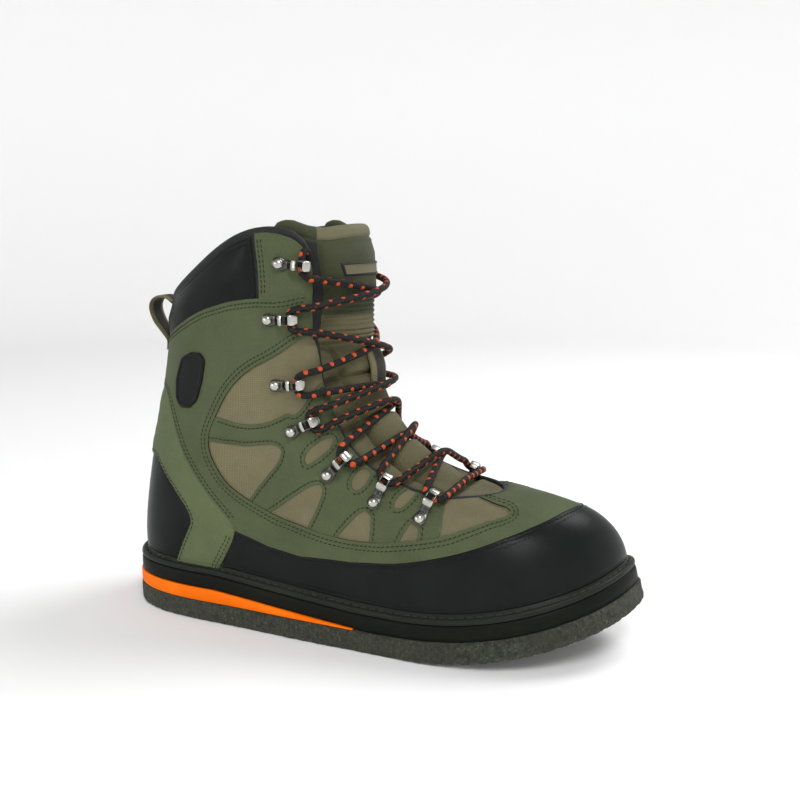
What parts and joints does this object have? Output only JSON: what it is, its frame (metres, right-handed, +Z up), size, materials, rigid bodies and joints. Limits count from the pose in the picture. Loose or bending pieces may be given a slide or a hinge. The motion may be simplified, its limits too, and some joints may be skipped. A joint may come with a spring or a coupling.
{
  "type": "wading boot",
  "caption": "Felt-soled wading boot for the right foot: laced ankle-high fabric upper with rubber rand and heel counter, padded tongue, orange heel wedge.",
  "frame": {"origin": "middle of the boot's footprint on the floor plane under the felt", "axes": "+X towards the toe, +Y towards the inner side of the foot, +Z up the leg"},
  "size_m": [0.3147, 0.1082, 0.23],
  "materials": {
    "felt": "dense pressed felt, matte, fibrous",
    "orange": "satin moulded foam rubber",
    "black_rubber": "satin black rubber",
    "canvas": "matte coated olive fabric over tan mesh",
    "quilt": "matte padded mesh",
    "foam": "matte fabric-covered foam",
    "rand": "satin grained rubber coating",
    "webbing": "woven webbing",
    "steel": "satin nickel-grey metal",
    "cord": "braided cord with orange flecks"
  },
  "bodies": {
    "root": {"arch_rand": "rand", "drain_grommet_1": "steel", "drain_grommet_2": "steel", "felt_outsole": "felt", "heel_counter": "rand", "heel_wedge": "orange", "hook_lateral_1": "steel", "hook_lateral_2": "steel", "hook_lateral_3": "steel", "hook_lateral_4": "steel", "hook_lateral_5": "steel", "hook_lateral_6": "steel", "hook_lateral_7": "steel", "hook_medial_1": "steel", "hook_medial_2": "steel", "hook_medial_3": "steel", "hook_medial_4": "steel", "hook_medial_5": "steel", "hook_medial_6": "steel", "hook_medial_7": "steel", "insole": "foam", "lace": "cord", "midsole": "black_rubber", "pull_loop": "webbing", "toe_rand": "rand", "tongue": "quilt", "upper": "canvas", "welt": "black_rubber"}
  },
  "joints": []
}
